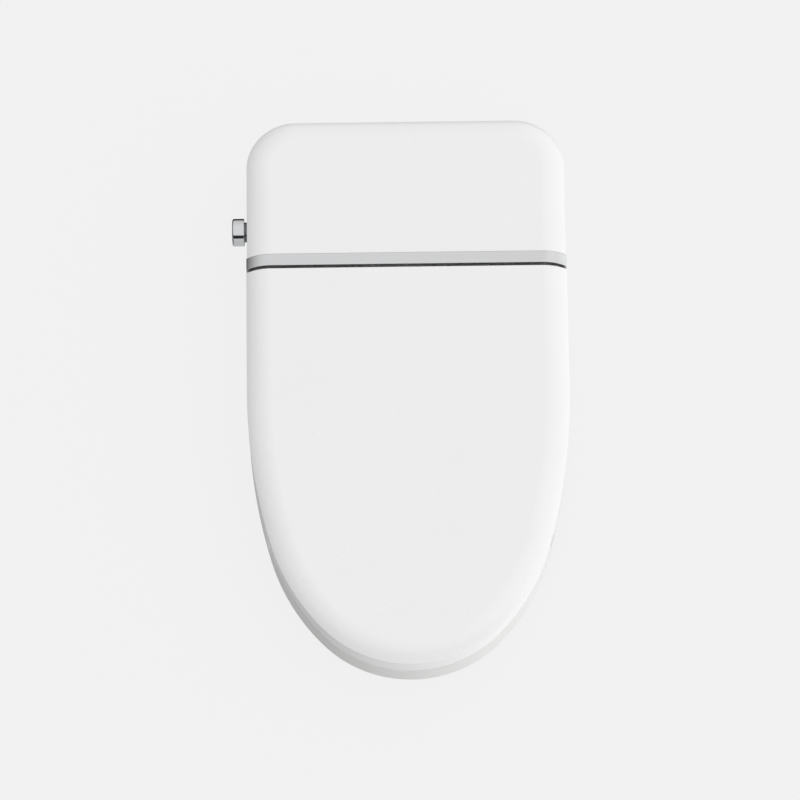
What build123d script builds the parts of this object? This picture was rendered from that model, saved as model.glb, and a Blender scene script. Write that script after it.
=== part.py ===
import os
from math import cos, pi, radians, sin, tan

from build123d import *

# Electric bidet seat, in millimetres. +Z is up, +Y points to the wall behind it and +X to the
# sitter's left hand. The origin is on the rim plane, midway between the two fixing holes.

# Plan outline: a long rounded nose in front, straight sides and a square back with round corners
half_width = 190.0
tip_y = -494.0
rear_y = 179.0
nose_r = 143.0
nose_turn = 46.0
flank_turn = 74.0
nose_length = 335.5
rear_corner_r = 60.0

# Crowned top: one sloped plane with a rolled shoulder that ends in a crisp edge
top_z = 108.0
top_slope = 4.0
shoulder_r = 40.0
shoulder_overhang = 10.0

# Lines across the unit
lid_rear_y = -12.0
lid_gap = 3.7
strip_width = 14.5
strip_depth = 4.0
front_wall_y = -2.0
cheek_front_y = -76.0
seat_rear_y = -78.0

# Layers, measured down from the top plane, and walls
lid_depth = 35.0
lid_wall = 3.0
seat_below_lid = 1.5
seat_base_z = 6.0
seat_plate = 3.0
seat_wall = 3.0
seat_inset = 0.4
housing_inset = 0.8
cover_wall = 3.0
casing_wall = 3.0
cheek_wall = 4.0
base_z = 2.0
parting_z = 30.0
deck_z = 42.0
deck_thickness = 3.0
step_clearance = 0.2

# Cuts run this far past the face that they open, and blocks to be trimmed stand this far proud
past = 1.0
tall = 300.0
wide = 500.0

# Seat opening and the recess under the seat's rear bridge
seat_side_width = 82.0
seat_front_width = 69.0
hole_rear_y = -148.0
bridge_recess_half = 88.0
bridge_recess_z = 41.0
seat_inner_roll = 14.0
seat_outer_roll = 2.5

# Hinge line shared by the seat and the lid
hinge_behind_edge = 30.0
hinge_below_top = 22.0
pin_r = 4.0
running_gap = 0.05
eye_r = 10.0
tower_inboard = 86.0
tower_width = 26.0
tower_half_depth = 9.0
arm_gap = 1.5
seat_arm_width = 16.0
lid_arm_width = 12.0
pin_inboard = 6.0
damper_r = 9.5
damper_length = 42.0
lobe_r = 32.5
lobe_gap = 1.5

# Knob on the wall at -X
knob_y = 56.0
knob_z = 60.0
knob_r = 16.6
knob_length = 15.2
knob_proud = 18.0
knob_neck_r = 12.0
knob_shaft_r = 5.0
bezel_r = 14.5
slide_gap = 0.3
slot_gap = 0.5
encoder_size = 20.0
shaft_in_encoder = 6.0
neck_to_shaft_end = 12.0
bracket_wall = 4.0
bracket_foot = 16.0
bracket_foot_height = 3.0

# Nozzle unit, set at a small fall towards the front
nozzle_fall = 6.0
nozzle_tip_y = -122.0
nozzle_tip_z = 20.0
nozzle_r = 7.0
nozzle_length = 185.0
nozzle_bore_r = 4.5
nozzle_gap = 5.0
nozzle_cap_length = 16.0
tip_bore_r = 3.0
tip_bore_length = 14.0
tip_bore_back = 3.0
gear_module = 1.0
pinion_teeth = 16
pinion_along = 92.0
rack_start = 88.0
rack_web = 3.0
rack_height = 4.0
tooth_depth = 1.6
tooth_width = 1.0
tooth_tip_gap = 0.2
pinion_thickness = 5.0
motor_r = 10.0
motor_height = 9.0
motor_gap = 1.0
motor_shaft_r = 2.0
holder_margin = 3.7
holder_side_wall = 1.5
holder_top_wall = 2.0
holder_plate = 3.0
holder_slot = 10.0
holder_start = 52.0
holder_length = 28.0
shroud_half = 30.0
shroud_z = 8.0
shroud_top_z = 37.0
shroud_wall = 2.0
shroud_front_y = -125.0

# Dryer
duct_x = 60.0
duct_width = 26.0
duct_z = 12.0
duct_height = 22.0
duct_wall = 2.0
fan_y = 96.0
fan_r = 32.0
fan_height = 30.0
rotor_r = 26.0
rotor_height = 20.0
rotor_blades = 24
blade_length = 7.0
blade_thickness = 1.2
blade_turn = 35.0
blade_inset = 4.5
hub_wall = 3.0
rotor_lift = 2.0
fan_wall = 2.0
shaft_clearance = 1.0
fan_inlet_r = 16.0
fan_shaft_r = 2.0
fan_motor_r = 14.0
flap_thickness = 1.6
flap_pin_r = 1.5
flap_barrel_r = 2.6
flap_pin_z = 33.5
flap_side_gap = 0.4
flap_overhang = 2.0

# Fixing plate, its pocket and its release button
fixing_spacing = 140.0
fixing_slot_r = 4.25
fixing_slot_length = 26.0
plate_half_width = 95.0
plate_half_length = 42.0
plate_thickness = 4.6
plate_travel = 25.0
pocket_gap = 1.0
pocket_z = 8.0
button_y = 20.0
button_z = 16.0
button_length = 30.0
button_height = 12.0
button_depth = 5.0

# Water inlet and cable gland, in two notches in the back
notch_inboard = 85.0
notch_width = 48.0
notch_depth = 24.0
inlet_z = 16.0
inlet_r = 10.4
inlet_length = 15.0
gland_r = 7.0

# Soft parts, screws, boards and water parts
buffer_inset = 1.0
buffer_width = 1.8
buffer_length = 14.0
buffer_places = (-180.0, -330.0)
heater_inset = 20.0
heater_thickness = 1.0
bumper_length = 26.0
bumper_width = 12.0
bumper_places = ((half_width - 40.0, -200.0), (nose_r - 47.0, tip_y + 74.0))
seat_arm_top_z = 64.0
boss_places = ((half_width - 18.0, 12.0), (half_width - 28.0, rear_y - 49.0))
boss_r = 6.0
screw_r = 2.0
screw_head_r = 4.0
screw_head_height = 1.8
screw_length = 36.0
cover_boss_z = 50.0
cover_boss_gap = 1.5
pad_places = ((half_width - 40.0, cheek_front_y + 18.0), (half_width - 40.0, rear_y - 61.0))
pad_r = 10.0
bezel_proud = 0.6
cap_wall = 4.0
cap_dome_r = 170.0
cap_edge_r = 2.4
spray_r = 1.2
shroud_nose = 10.0
inlet_shank_r = 8.0
inlet_shank = 8.0
inlet_bore_r = 5.0
filter_length = 6.0
valve_half = 12.0
valve_length = 40.0
valve_height = 24.0
valve_coil_height = 14.0
coil_r = 9.0
pump_inboard = 48.0
pump_r = 17.0
pump_from_rear = 58.0
pump_length = 34.0
heater_inboard = 82.0
heater_width = 60.0
heater_y = 22.0
heater_length = 58.0
heater_height = 53.0
heater_corner_r = 6.0
selector_half = 18.0
selector_y = 80.0
selector_top_z = 56.0
tube_r = 3.0
tube_wall = 1.0
tube_bend_r = 12.0
tube_below_top = 6.0
tube_from_end = 10.0
tube_lead = 40.0
tube_run_in = 15.0
board_thickness = 1.6
gland_length = 14.0
gland_nut = 5.0
gland_nut_r = 11.0
gland_bore_r = 4.0
gland_inside = 6.0
standoff_r = 3.0
standoff_inset = 5.0
transformer_size = (30.0, 26.0)
capacitor_r = 6.0
capacitor_spacing = 16.0
power_part_height = 20.0
chip_size = 12.0
chip_spacing = (22.0, 24.0)
chip_height = 2.0
filter_inboard = 40.0
filter_width = 46.0
filter_front_gap = 11.0
filter_rear_gap = 12.0
filter_top_gap = 4.0
filter_corner_r = 4.0

# Places that follow from the sizes above
hole_half_width = half_width - seat_side_width
hole_front_y = tip_y + seat_front_width
tower_x = half_width - tower_inboard
notch_x = half_width - notch_inboard
pump_x = half_width - pump_inboard
pump_rear_y = rear_y - pump_from_rear
heater_x = half_width - heater_inboard
hinge_y = lid_rear_y - hinge_behind_edge
slope = tan(radians(top_slope))
hinge_z = top_z - hinge_behind_edge * slope - hinge_below_top
side_x = half_width - housing_inset
strip_front_y = lid_rear_y + lid_gap
strip_rear_y = strip_front_y + strip_width
cap_outer_x = -(half_width + knob_proud)
cap_inner_x = cap_outer_x + knob_length

top_plane = Plane(
    origin=(0, lid_rear_y, top_z),
    x_dir=(1, 0, 0),
    z_dir=(0, -sin(radians(top_slope)), cos(radians(top_slope))),
)
rim_plane = top_plane.offset(-lid_depth)
seat_plane = top_plane.offset(-lid_depth - seat_below_lid)


def save(sub_part, name):
    """Label one finished piece and write its STEP file."""
    sub_part.part.label = name
    export_step(sub_part.part, f"parts/{name}.step")


def plan_face(grow):
    """The unit's outline from above, moved outwards by grow.

    The flank and side radii make the three arcs end at half_width, nose_length behind the tip.
    """
    nose_center_y = tip_y + nose_r
    turn_in = radians(nose_turn)
    turn_out = radians(flank_turn)
    reach_x = half_width - nose_r * sin(turn_in)
    reach_y = nose_length - nose_r * (1 - cos(turn_in))
    flank_share_x = sin(turn_out) - sin(turn_in)
    flank_share_y = cos(turn_in) - cos(turn_out)
    side_share_x = 1 - sin(turn_out)
    side_share_y = cos(turn_out)
    scale = flank_share_x * side_share_y - side_share_x * flank_share_y
    flank_r = (reach_x * side_share_y - side_share_x * reach_y) / scale
    side_r = (flank_share_x * reach_y - flank_share_y * reach_x) / scale
    flank_x = (nose_r - flank_r) * sin(turn_in)
    flank_y = nose_center_y + (flank_r - nose_r) * cos(turn_in)
    side_center_x = half_width - side_r
    side_center_y = flank_y + (side_r - flank_r) * cos(turn_out)
    corner_x = half_width - rear_corner_r
    corner_y = rear_y - rear_corner_r
    with BuildSketch() as plan:
        with BuildLine():
            CenterArc((0, nose_center_y), nose_r + grow, -90, nose_turn)
            CenterArc((flank_x, flank_y), flank_r + grow, nose_turn - 90, flank_turn - nose_turn)
            side = CenterArc(
                (side_center_x, side_center_y), side_r + grow, flank_turn - 90, 90 - flank_turn
            )
            corner = CenterArc((corner_x, corner_y), rear_corner_r + grow, 0, 90)
            Line(side @ 1, corner @ 0)
            Line(corner @ 1, (0, rear_y + grow))
            mirror(about=Plane.YZ)
        make_face()
    return plan.sketch


def crowned_form(inset):
    """The solid under the crowned top, with every outer surface moved in by inset."""
    with BuildPart() as form:
        with BuildSketch():
            add(plan_face(shoulder_overhang - inset))
        extrude(amount=tall)
        split(bisect_by=top_plane.offset(-inset), keep=Keep.BOTTOM)
        crown = form.faces().sort_by(Axis.Z)[-1]
        fillet(crown.edges(), radius=shoulder_r - inset)
        with BuildSketch():
            add(plan_face(-inset))
        extrude(amount=tall, mode=Mode.INTERSECT)
    return form.part


def block(x_from, x_to, y_from, y_to, z_from, z_to):
    """A plain block between two corners."""
    center = ((x_from + x_to) / 2, (y_from + y_to) / 2, (z_from + z_to) / 2)
    with BuildPart() as result:
        with Locations(center):
            Box(x_to - x_from, y_to - y_from, z_to - z_from)
    return result.part


def crowned_slice(inset, y_from, y_to, z_from):
    """The crowned form's solid between two lines across the unit."""
    with BuildPart() as piece:
        add(crowned_form(inset))
        add(block(-wide, wide, y_from, y_to, z_from, tall), mode=Mode.INTERSECT)
    return piece.part


def shell_band(outer_inset, inner_inset, y_from, y_to):
    """A slice of the crowned shell between two insets and two lines across the unit."""
    with BuildPart() as band:
        add(crowned_slice(outer_inset, y_from, y_to, 0))
        add(crowned_form(inner_inset), mode=Mode.SUBTRACT)
    return band.part


def cross_cylinder(radius, x_from, x_to, y, z):
    """A cylinder that lies along X."""
    with BuildPart() as bar:
        with Locations(((x_from + x_to) / 2, y, z)):
            Cylinder(radius, x_to - x_from, rotation=(0, 90, 0))
    return bar.part


def span(side, near, far):
    """Two X values in rising order, on the given side of the unit."""
    return (min(side * near, side * far), max(side * near, side * far))


def pin_bore(x_from, x_to):
    """The hinge pin's running bore between two X values."""
    return cross_cylinder(pin_r + running_gap, x_from - past, x_to + past, hinge_y, hinge_z)


def flap_pin_bar(radius):
    """A bar on the dryer flap's hinge line, long enough for both of its ears."""
    half = duct_width / 2 + casing_wall
    return cross_cylinder(
        radius, duct_x - half, duct_x + half, cheek_front_y - flap_barrel_r, flap_pin_z
    )


os.makedirs("parts", exist_ok=True)

# ---- Lid: a thin crowned shell with two hinge arms and two round side lobes ----
seat_arm_x = tower_x + tower_width + arm_gap
lid_arm_x = seat_arm_x + seat_arm_width + arm_gap
pin_end_x = lid_arm_x + lid_arm_width + arm_gap

with BuildPart() as lid:
    add(shell_band(0, lid_wall, tip_y - past, lid_rear_y))
    split(bisect_by=rim_plane, keep=Keep.TOP)
    for side in (-1, 1):
        x_from, x_to = span(side, half_width - lid_wall, half_width)
        with BuildSketch(Plane.YZ.offset(x_from)):
            with Locations((hinge_y, hinge_z)):
                Circle(lobe_r)
            with Locations((hinge_y, hinge_z + lobe_r / 2)):
                Rectangle(2 * lobe_r, lobe_r, mode=Mode.SUBTRACT)
            with Locations((lid_rear_y + lobe_r / 2, hinge_z)):
                Rectangle(lobe_r, 2 * lobe_r, mode=Mode.SUBTRACT)
        extrude(amount=x_to - x_from)
    for side in (-1, 1):
        x_from, x_to = span(side, lid_arm_x, lid_arm_x + lid_arm_width)
        with BuildSketch(Plane.YZ.offset(x_from)):
            with Locations((hinge_y, hinge_z)):
                Circle(eye_r)
            with BuildLine():
                arm_top = hinge_z + hinge_below_top - lid_wall / 2
                Polyline(
                    (hinge_y - eye_r, hinge_z),
                    (hinge_y + eye_r, hinge_z),
                    (hinge_y + eye_r * 1.5, arm_top),
                    (hinge_y - eye_r * 4, arm_top - eye_r * 4 * slope),
                    close=True,
                )
            make_face()
        extrude(amount=x_to - x_from)
        add(pin_bore(x_from, x_to), mode=Mode.SUBTRACT)
save(lid, "lid")

# Soft buffers that keep the lid's rim off the seat
with BuildPart() as lid_buffers:
    with BuildSketch(rim_plane):
        add(plan_face(-buffer_inset))
        add(plan_face(-buffer_inset - buffer_width), mode=Mode.SUBTRACT)
        with Locations(*[(0, y) for y in buffer_places]):
            Rectangle(wide, buffer_length, mode=Mode.INTERSECT)
    extrude(amount=-(seat_below_lid - slide_gap))
save(lid_buffers, "lid_buffers")

# ---- Seat: a hollow heated ring on a base plate, with two arms to the hinge line ----
hole_center_y = (hole_rear_y + hole_front_y) / 2
hole_half_length = (hole_rear_y - hole_front_y) / 2
plate_top_z = seat_base_z + seat_plate


def seat_sketch(inset):
    """The seat ring's plan, with its rim, its hole and its back moved in by inset."""
    with BuildSketch() as ring:
        add(plan_face(-seat_inset - inset))
        with Locations((0, seat_rear_y - inset + tall)):
            Rectangle(2 * wide, 2 * tall, mode=Mode.SUBTRACT)
        with Locations((0, hole_center_y)):
            Ellipse(hole_half_width + inset, hole_half_length + inset, mode=Mode.SUBTRACT)
    return ring.sketch


def bridge_recess(inset):
    """The space under the seat's rear bridge that the nozzle shroud stands in."""
    half = bridge_recess_half + inset
    return block(-half, half, hole_rear_y - half, seat_rear_y + past, 0, bridge_recess_z + inset)


def seat_solid(inset):
    """The seat's outer form, moved in by inset, with its edge rolled into the hole."""
    with BuildPart() as ring:
        with BuildSketch(Plane.XY.offset(plate_top_z)):
            add(seat_sketch(inset))
        extrude(amount=tall)
        split(bisect_by=seat_plane.offset(-inset), keep=Keep.BOTTOM)
        crown = ring.faces().sort_by(Axis.Z)[-1]
        fillet(crown.inner_wires()[0].edges(), radius=seat_inner_roll - inset)
        add(bridge_recess(inset), mode=Mode.SUBTRACT)
    return ring.part


with BuildPart() as seat_shell:
    add(seat_solid(0))
    crown = seat_shell.faces().sort_by(Axis.Z)[-1]
    fillet(crown.outer_wire().edges(), radius=seat_outer_roll)
    add(seat_solid(seat_wall), mode=Mode.SUBTRACT)
    for side in (-1, 1):
        x_from, x_to = span(side, seat_arm_x, seat_arm_x + seat_arm_width)
        with BuildSketch(Plane.YZ.offset(x_from)):
            with Locations((hinge_y, hinge_z)):
                Circle(eye_r)
            with BuildLine():
                Polyline(
                    (hinge_y, hinge_z - eye_r),
                    (hinge_y, hinge_z + eye_r),
                    (seat_rear_y - past, seat_arm_top_z),
                    (seat_rear_y - past, seat_arm_top_z - 2 * eye_r),
                    close=True,
                )
            make_face()
        extrude(amount=x_to - x_from)
        add(pin_bore(x_from, x_to), mode=Mode.SUBTRACT)
save(seat_shell, "seat_shell")

with BuildPart() as seat_base:
    with BuildSketch(Plane.XY.offset(seat_base_z)):
        add(seat_sketch(0))
    extrude(amount=seat_plate)
    add(bridge_recess(0), mode=Mode.SUBTRACT)
save(seat_base, "seat_base")

# Heating foil that lies under the seat's top skin
with BuildPart() as seat_heater:
    with BuildSketch(Plane.XY.offset(plate_top_z)):
        add(seat_sketch(heater_inset))
    extrude(amount=tall)
    foil_top = seat_plane.offset(-seat_wall - step_clearance)
    split(bisect_by=foil_top, keep=Keep.BOTTOM)
    split(bisect_by=foil_top.offset(-heater_thickness), keep=Keep.TOP)
save(seat_heater, "seat_heater")

with BuildPart() as seat_bumpers:
    with BuildSketch():
        with Locations(*[(side * x, y) for side in (-1, 1) for x, y in bumper_places]):
            SlotOverall(bumper_length, bumper_width)
    extrude(amount=seat_base_z)
save(seat_bumpers, "seat_bumpers")

# ---- Base casing: a tray with front cheeks, a plate pocket and two notches at the back ----
casing_floor_z = base_z + casing_wall
deck_half = side_x - cheek_wall
pocket_half = plate_half_width + pocket_gap
pocket_front_y = -plate_half_length - pocket_gap
pocket_rear_y = plate_half_length + plate_travel + pocket_gap
notch_wall_y = rear_y - housing_inset - notch_depth
duct_half = duct_width / 2
flap_half = duct_half - flap_side_gap


def rear_sketch(inset):
    """The rear part of the casing in plan, with its two notches."""
    with BuildSketch() as rear:
        add(plan_face(-housing_inset - inset))
        with Locations((0, front_wall_y - inset - tall)):
            Rectangle(2 * wide, 2 * tall, mode=Mode.SUBTRACT)
        with Locations((-notch_x, notch_wall_y + tall / 2), (notch_x, notch_wall_y + tall / 2)):
            Rectangle(notch_width + 2 * inset, tall + 2 * inset, mode=Mode.SUBTRACT)
    return rear.sketch


with BuildPart() as base_casing:
    with BuildSketch(Plane.XY.offset(base_z)):
        add(rear_sketch(0))
    extrude(amount=parting_z - base_z)
    with BuildSketch(Plane.XY.offset(base_z)):
        add(plan_face(-housing_inset))
        with Locations((0, (cheek_front_y + front_wall_y) / 2)):
            Rectangle(2 * wide, front_wall_y - cheek_front_y, mode=Mode.INTERSECT)
    extrude(amount=tall)
    split(bisect_by=rim_plane.offset(-seat_below_lid), keep=Keep.BOTTOM)
    with BuildSketch(Plane.XY.offset(casing_floor_z)):
        add(rear_sketch(casing_wall))
    extrude(amount=tall, mode=Mode.SUBTRACT)
    add(
        block(
            -deck_half,
            deck_half,
            cheek_front_y + casing_wall,
            front_wall_y + past,
            casing_floor_z,
            tall,
        ),
        mode=Mode.SUBTRACT,
    )
    add(
        block(-deck_half, deck_half, cheek_front_y - past, front_wall_y + past, deck_z, tall),
        mode=Mode.SUBTRACT,
    )
    for side in (-1, 1):
        x_from, x_to = span(side, deck_half - past, half_width + past)
        add(
            cross_cylinder(lobe_r + lobe_gap, x_from, x_to, hinge_y, hinge_z),
            mode=Mode.SUBTRACT,
        )
    add(
        block(
            -pocket_half - casing_wall,
            pocket_half + casing_wall,
            pocket_front_y - casing_wall,
            pocket_rear_y + casing_wall,
            base_z,
            pocket_z + casing_wall,
        )
    )
    add(
        block(-pocket_half, pocket_half, pocket_front_y, pocket_rear_y, 0, pocket_z),
        mode=Mode.SUBTRACT,
    )
    add(
        block(
            -shroud_half,
            shroud_half,
            cheek_front_y - past,
            cheek_front_y + casing_wall + past,
            shroud_z,
            shroud_top_z,
        ),
        mode=Mode.SUBTRACT,
    )
    add(
        block(
            duct_x - duct_half,
            duct_x + duct_half,
            cheek_front_y - past,
            cheek_front_y + casing_wall + past,
            duct_z,
            duct_z + duct_height,
        ),
        mode=Mode.SUBTRACT,
    )
    for side in (-1, 1):
        x_from, x_to = span(side, duct_half, duct_half + casing_wall)
        with BuildSketch(Plane.YZ.offset(duct_x + x_from)):
            with Locations((cheek_front_y - flap_barrel_r, flap_pin_z)):
                Rectangle(2 * flap_barrel_r + past, 2 * flap_barrel_r)
        extrude(amount=x_to - x_from)
    add(flap_pin_bar(flap_pin_r), mode=Mode.SUBTRACT)
    for x, y in boss_places:
        with BuildSketch(Plane.XY.offset(base_z)):
            with Locations((-x, y), (x, y)):
                Circle(boss_r)
        extrude(amount=parting_z - base_z)
        with BuildSketch(Plane.XY.offset(base_z)):
            with Locations((-x, y), (x, y)):
                Circle(screw_r)
        extrude(amount=parting_z - base_z, mode=Mode.SUBTRACT)
        with BuildSketch(Plane.XY.offset(base_z)):
            with Locations((-x, y), (x, y)):
                Circle(screw_head_r + step_clearance)
        extrude(amount=screw_head_height + step_clearance, mode=Mode.SUBTRACT)
    with BuildSketch(Plane.XZ.offset(-notch_wall_y)):
        with Locations((notch_x, inlet_z)):
            Circle(inlet_shank_r)
        with Locations((-notch_x, inlet_z)):
            Circle(gland_r)
    extrude(amount=casing_wall + past, mode=Mode.SUBTRACT)
    add(
        block(
            side_x - cheek_wall - past,
            side_x + past,
            button_y - button_length / 2 - slide_gap,
            button_y + button_length / 2 + slide_gap,
            button_z - button_height / 2 - slide_gap,
            button_z + button_height / 2 + slide_gap,
        ),
        mode=Mode.SUBTRACT,
    )
save(base_casing, "base_casing")

with BuildPart() as base_pads:
    with BuildSketch():
        with Locations(*[(side * x, y) for side in (-1, 1) for x, y in pad_places]):
            Circle(pad_r)
    extrude(amount=base_z)
save(base_pads, "base_pads")

with BuildPart() as cover_screws:
    with BuildSketch(Plane.XY.offset(base_z + step_clearance)):
        with Locations(*[(side * x, y) for side in (-1, 1) for x, y in boss_places]):
            Circle(screw_head_r)
    extrude(amount=screw_head_height)
    with BuildSketch(Plane.XY.offset(base_z + step_clearance + screw_head_height)):
        with Locations(*[(side * x, y) for side in (-1, 1) for x, y in boss_places]):
            Circle(screw_r)
    extrude(amount=screw_length)
save(cover_screws, "cover_screws")

with BuildPart() as deck_cover:
    add(
        block(
            -deck_half + step_clearance,
            deck_half - step_clearance,
            cheek_front_y,
            front_wall_y + cover_wall,
            deck_z,
            deck_z + deck_thickness,
        )
    )
save(deck_cover, "deck_cover")

# ---- Rear cover: the crowned shell behind the lid, rebated at its front for the trim strip ----
deck_top_z = deck_z + deck_thickness

with BuildPart() as strip_rebate:
    add(block(-wide, wide, -wide, strip_rear_y + step_clearance, 0, tall))
    split(bisect_by=rim_plane.offset(-step_clearance), keep=Keep.TOP)
    add(crowned_form(strip_depth), mode=Mode.SUBTRACT)

with BuildPart() as rear_cover:
    add(crowned_slice(housing_inset, front_wall_y, wide, parting_z))
    add(strip_rebate.part, mode=Mode.SUBTRACT)
    for inset, y_from, y_to in (
        (housing_inset + cover_wall, strip_rear_y + cover_wall, wide),
        (strip_depth + cover_wall, front_wall_y + cover_wall, strip_rear_y + cover_wall),
    ):
        add(crowned_slice(inset, y_from, y_to, 0), mode=Mode.SUBTRACT)
    add(
        block(-deck_half, deck_half, front_wall_y - past, front_wall_y + cover_wall, 0, deck_top_z),
        mode=Mode.SUBTRACT,
    )
    add(
        cross_cylinder(bezel_r, -half_width - past, -side_x + 2 * cover_wall, knob_y, knob_z),
        mode=Mode.SUBTRACT,
    )
    for side in (-1, 1):
        for x, y in boss_places:
            x_from, x_to = span(side, x - boss_r, side_x - cover_boss_gap)
            half = boss_r - past
            add(block(x_from, x_to, y - half, y + half, parting_z, cover_boss_z))
    with BuildSketch(Plane.XY.offset(parting_z)):
        with Locations(*[(side * x, y) for side in (-1, 1) for x, y in boss_places]):
            Circle(screw_r)
    extrude(amount=screw_length, mode=Mode.SUBTRACT)
save(rear_cover, "rear_cover")

with BuildPart() as trim_strip:
    add(shell_band(0, strip_depth, strip_front_y, strip_rear_y))
    split(bisect_by=rim_plane, keep=Keep.TOP)
save(trim_strip, "trim_strip")

# ---- Hinge: towers on the deck, fixed pins and two soft-close dampers ----
for side, name in ((-1, "left"), (1, "right")):
    x_from, x_to = span(side, tower_x, tower_x + tower_width)
    with BuildPart() as tower:
        with BuildSketch(Plane.YZ.offset(x_from)):
            with Locations((hinge_y, hinge_z)):
                Circle(eye_r)
            with Locations((hinge_y, (deck_top_z + hinge_z) / 2)):
                Rectangle(2 * tower_half_depth, hinge_z - deck_top_z)
            with Locations((hinge_y, hinge_z)):
                Circle(pin_r, mode=Mode.SUBTRACT)
        extrude(amount=x_to - x_from)
    save(tower, f"hinge_tower_{name}")

    x_from, x_to = span(side, tower_x - pin_inboard, pin_end_x)
    with BuildPart() as pin:
        add(cross_cylinder(pin_r, x_from, x_to, hinge_y, hinge_z))
        chamfer(pin.edges(), length=0.5)
    save(pin, f"hinge_pin_{name}")

for side, name in ((-1, "seat_damper"), (1, "lid_damper")):
    x_from, x_to = span(side, tower_x - damper_length, tower_x)
    with BuildPart() as damper:
        add(cross_cylinder(damper_r, x_from, x_to, hinge_y, hinge_z))
        chamfer(damper.edges(), length=1)
        x_from, x_to = span(side, tower_x - pin_inboard - past, tower_x)
        add(pin_bore(x_from, x_to), mode=Mode.SUBTRACT)
    save(damper, name)

# ---- Knob: a fixed bezel, a neck that presses in and a cap that turns in the neck ----
with BuildPart() as knob_bezel:
    add(cross_cylinder(bezel_r, -side_x - bezel_proud, -side_x + cover_wall, knob_y, knob_z))
    add(
        cross_cylinder(
            knob_neck_r + slide_gap, -half_width - past, -side_x + 2 * cover_wall, knob_y, knob_z
        ),
        mode=Mode.SUBTRACT,
    )
save(knob_bezel, "knob_bezel")

neck_end_x = -side_x + 3 * cover_wall
shaft_end_x = neck_end_x + neck_to_shaft_end
encoder_x = shaft_end_x - shaft_in_encoder
with BuildPart() as knob_neck:
    add(cross_cylinder(knob_neck_r, cap_inner_x, neck_end_x, knob_y, knob_z))
    add(
        cross_cylinder(
            knob_shaft_r + running_gap, cap_inner_x - past, neck_end_x + past, knob_y, knob_z
        ),
        mode=Mode.SUBTRACT,
    )
save(knob_neck, "knob_neck")

shaft_start_x = cap_outer_x + cap_wall
with BuildPart() as knob_cap:
    add(cross_cylinder(knob_r, cap_outer_x, cap_inner_x, knob_y, knob_z))
    with Locations((cap_outer_x + cap_dome_r, knob_y, knob_z)):
        Sphere(cap_dome_r, mode=Mode.INTERSECT)
    rims = knob_cap.edges().filter_by(GeomType.CIRCLE).sort_by(Axis.X)
    fillet(rims[0], radius=cap_edge_r)
    chamfer(rims[-1], length=cap_edge_r / 3)
    add(
        cross_cylinder(knob_shaft_r, shaft_start_x, cap_inner_x + past, knob_y, knob_z),
        mode=Mode.SUBTRACT,
    )
save(knob_cap, "knob_cap")

with BuildPart() as knob_shaft:
    add(cross_cylinder(knob_shaft_r, shaft_start_x, shaft_end_x, knob_y, knob_z))
save(knob_shaft, "knob_shaft")

with BuildPart() as knob_encoder:
    half = encoder_size / 2
    add(
        block(
            encoder_x,
            encoder_x + encoder_size,
            knob_y - half,
            knob_y + half,
            knob_z - half,
            knob_z + half,
        )
    )
    add(
        cross_cylinder(
            knob_shaft_r + slide_gap, encoder_x - past, shaft_end_x + shaft_in_encoder, knob_y, knob_z
        ),
        mode=Mode.SUBTRACT,
    )
save(knob_encoder, "knob_encoder")

with BuildPart() as encoder_bracket:
    bracket_x = encoder_x + encoder_size
    y_from = knob_y - encoder_size / 2
    y_to = knob_y + encoder_size / 2
    bracket_top_z = knob_z + encoder_size / 2
    foot_top_z = casing_floor_z + bracket_foot_height
    add(block(bracket_x, bracket_x + bracket_wall, y_from, y_to, casing_floor_z, bracket_top_z))
    add(block(bracket_x - bracket_foot, bracket_x, y_from, y_to, casing_floor_z, foot_top_z))
save(encoder_bracket, "encoder_bracket")

# ---- Nozzle unit: all of it lies along one line that falls towards the front ----
nozzle_plane = Plane(
    origin=(0, nozzle_tip_y, nozzle_tip_z),
    x_dir=(1, 0, 0),
    z_dir=(0, -sin(radians(nozzle_fall)), cos(radians(nozzle_fall))),
)
nozzle_x = nozzle_r + nozzle_gap / 2
rack_face = nozzle_x + nozzle_r + rack_web
pitch_line = rack_face + tooth_depth / 2
pitch_r = gear_module * pinion_teeth / 2
tooth_pitch = pi * gear_module
pinion_x = pitch_line + pitch_r
pinion_root_r = pitch_r - tooth_depth / 2 - tooth_tip_gap
pinion_tip_r = pitch_r + tooth_depth / 2 - tooth_tip_gap
rack_teeth = int((nozzle_length - pinion_along - past) / tooth_pitch)
motor_top = -pinion_thickness / 2 - motor_gap
plate_top = motor_top - motor_height

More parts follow.
